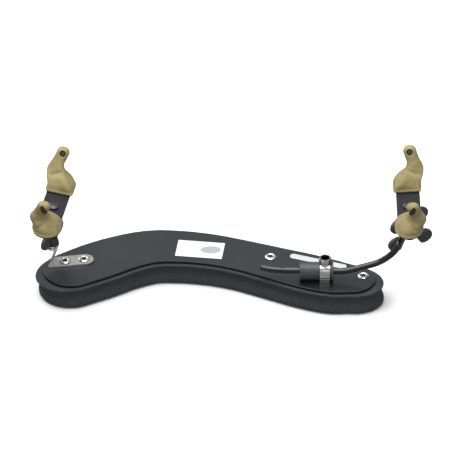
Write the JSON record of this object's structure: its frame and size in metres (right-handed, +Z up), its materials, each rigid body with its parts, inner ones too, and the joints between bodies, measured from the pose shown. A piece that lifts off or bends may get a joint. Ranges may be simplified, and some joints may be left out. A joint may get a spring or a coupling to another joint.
{
  "type": "violin shoulder rest",
  "caption": "Curved padded violin shoulder rest with a fixed rubber-tipped fork at one end and a fork on a sliding, swinging rod at the other",
  "frame": {"origin": "on the underside of the foam pad, below the middle of the plate", "axes": "+X along the rest from the fixed fork to the sliding fork, +Y to the far side of the plate's bow, +Z up from the pad to the forks"},
  "size_m": [0.2759, 0.0823, 0.0921],
  "materials": {
    "plate_paint": "satin slate black paint",
    "foam": "matt black cellular foam",
    "nickel": "nickel plated",
    "chrome": "bright plated",
    "black_steel": "glossy black",
    "black_plastic": "moulded, fine grain",
    "tan_rubber": "natural rubber tube",
    "label_white": "plain white sticker"
  },
  "bodies": {
    "base": {"base_plate": "plate_paint", "foam_pad": "foam", "anchor_plate": "nickel", "left_bracket": "nickel", "left_eyelet_inner": "nickel", "left_eyelet_outer": "nickel", "right_eyelet_inner": "nickel", "right_eyelet_outer": "nickel", "left_washer": "nickel", "clamp_band": "chrome", "name_label": "label_white", "size_label": "label_white"},
    "sleeve": {"clamp_sleeve": "black_plastic"},
    "rod": {"support_rod": "black_steel"},
    "clamp_screw": {"clamp_screw": "chrome"},
    "left_stud": {"left_stud": "black_steel"},
    "left_fork": {"left_fork": "black_steel", "left_front_boot": "tan_rubber", "left_rear_boot": "tan_rubber"},
    "left_nut": {"left_wing_nut": "black_plastic"},
    "right_stud": {"right_stud": "black_steel"},
    "right_fork": {"right_fork": "black_steel", "right_front_boot": "tan_rubber", "right_rear_boot": "tan_rubber"},
    "right_upper_nut": {"right_upper_wing_nut": "black_plastic"},
    "right_lower_nut": {"right_lower_wing_nut": "black_plastic"}
  },
  "joints": [
    {"name": "rod_swing", "type": "hinge", "parent": "base", "child": "sleeve", "pos_m": [0.0743, -0.0366, 0.025], "axis": [0.9997, -0.0262, 0], "range_deg": [-20, 25]},
    {"name": "rod_slide", "type": "slide", "parent": "sleeve", "child": "rod", "axis": [0.9997, -0.0262, 0], "range_m": [-0.003, 0.012]},
    {"name": "right_height", "type": "slide", "parent": "rod", "child": "right_stud", "axis": [-0.061, 0, 0.9981], "range_m": [-0.0025, 0.0045]},
    {"name": "right_turn", "type": "hinge", "parent": "right_stud", "child": "right_fork", "pos_m": [0.1376, -0.0176, 0.046], "axis": [-0.061, 0, 0.9981], "range_deg": [-30, 30]},
    {"name": "right_upper_nut_spin", "type": "hinge", "parent": "rod", "child": "right_upper_nut", "pos_m": [0.1376, -0.0176, 0.046], "axis": [-0.061, 0, 0.9981], "continuous": true},
    {"name": "right_lower_nut_spin", "type": "hinge", "parent": "rod", "child": "right_lower_nut", "pos_m": [0.1376, -0.0176, 0.046], "axis": [-0.061, 0, 0.9981], "continuous": true},
    {"name": "left_height", "type": "slide", "parent": "base", "child": "left_stud", "axis": [0.0602, -0.0101, 0.9981], "range_m": [0, 0.0025]},
    {"name": "left_turn", "type": "hinge", "parent": "left_stud", "child": "left_fork", "pos_m": [-0.1092, -0.016, 0.0324], "axis": [0.0602, -0.0101, 0.9981], "range_deg": [-30, 30]},
    {"name": "left_nut_spin", "type": "hinge", "parent": "base", "child": "left_nut", "pos_m": [-0.1092, -0.016, 0.0324], "axis": [0.0602, -0.0101, 0.9981], "continuous": true},
    {"name": "clamp_screw_spin", "type": "hinge", "parent": "base", "child": "clamp_screw", "pos_m": [0.0792, -0.03673, 0.034], "axis": [0, 0, 1], "continuous": true}
  ]
}
